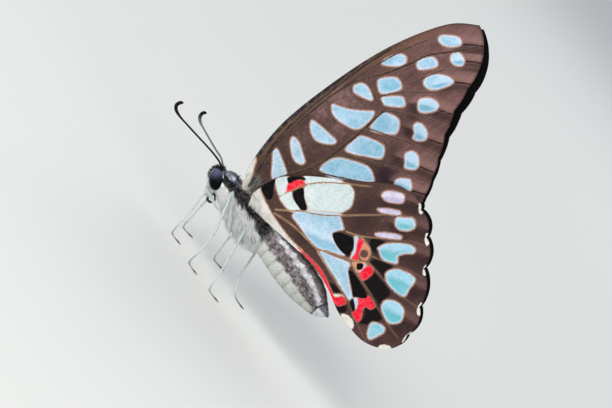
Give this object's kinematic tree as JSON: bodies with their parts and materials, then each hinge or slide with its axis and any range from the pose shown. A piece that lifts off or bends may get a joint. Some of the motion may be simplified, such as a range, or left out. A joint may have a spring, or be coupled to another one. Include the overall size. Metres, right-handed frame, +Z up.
{
  "type": "swallowtail butterfly",
  "caption": "Life-size still model of a jay swallowtail butterfly standing with its wings closed over its back.",
  "frame": {"origin": "on the floor, under the middle of the whole animal", "axes": "+Z up, head towards -X, the butterfly's left side towards -Y"},
  "size_m": [0.0467, 0.0144, 0.053],
  "materials": {
    "wing_scales": "matt scaled wing, brown with pale blue spots",
    "body_fur": "soft short fur, grey white with black bands",
    "head_fur": "soft black and white fur",
    "eye": "glossy black, fine facets",
    "horn": "satin black horn",
    "leg_scales": "pale grey scales"
  },
  "bodies": {
    "root": {"abdomen_segment_1": "body_fur", "abdomen_segment_2": "body_fur", "abdomen_segment_3": "body_fur", "abdomen_segment_4": "body_fur", "abdomen_segment_5": "body_fur", "abdomen_segment_6": "body_fur", "abdomen_segment_7": "body_fur", "abdomen_segment_8": "body_fur", "antenna_left": "horn", "antenna_right": "horn", "eye_left": "eye", "eye_right": "eye", "fore_left_femur": "leg_scales", "fore_left_tarsus": "leg_scales", "fore_left_tibia": "leg_scales", "fore_right_femur": "leg_scales", "fore_right_tarsus": "leg_scales", "fore_right_tibia": "leg_scales", "forewing_left": "wing_scales", "forewing_right": "wing_scales", "head": "head_fur", "hind_left_femur": "leg_scales", "hind_left_tarsus": "leg_scales", "hind_left_tibia": "leg_scales", "hind_right_femur": "leg_scales", "hind_right_tarsus": "leg_scales", "hind_right_tibia": "leg_scales", "hindwing_left": "wing_scales", "hindwing_right": "wing_scales", "mid_left_femur": "leg_scales", "mid_left_tarsus": "leg_scales", "mid_left_tibia": "leg_scales", "mid_right_femur": "leg_scales", "mid_right_tarsus": "leg_scales", "mid_right_tibia": "leg_scales", "palpus_left": "head_fur", "palpus_right": "head_fur", "proboscis": "horn", "prothorax": "body_fur", "thorax": "body_fur"}
  },
  "joints": []
}
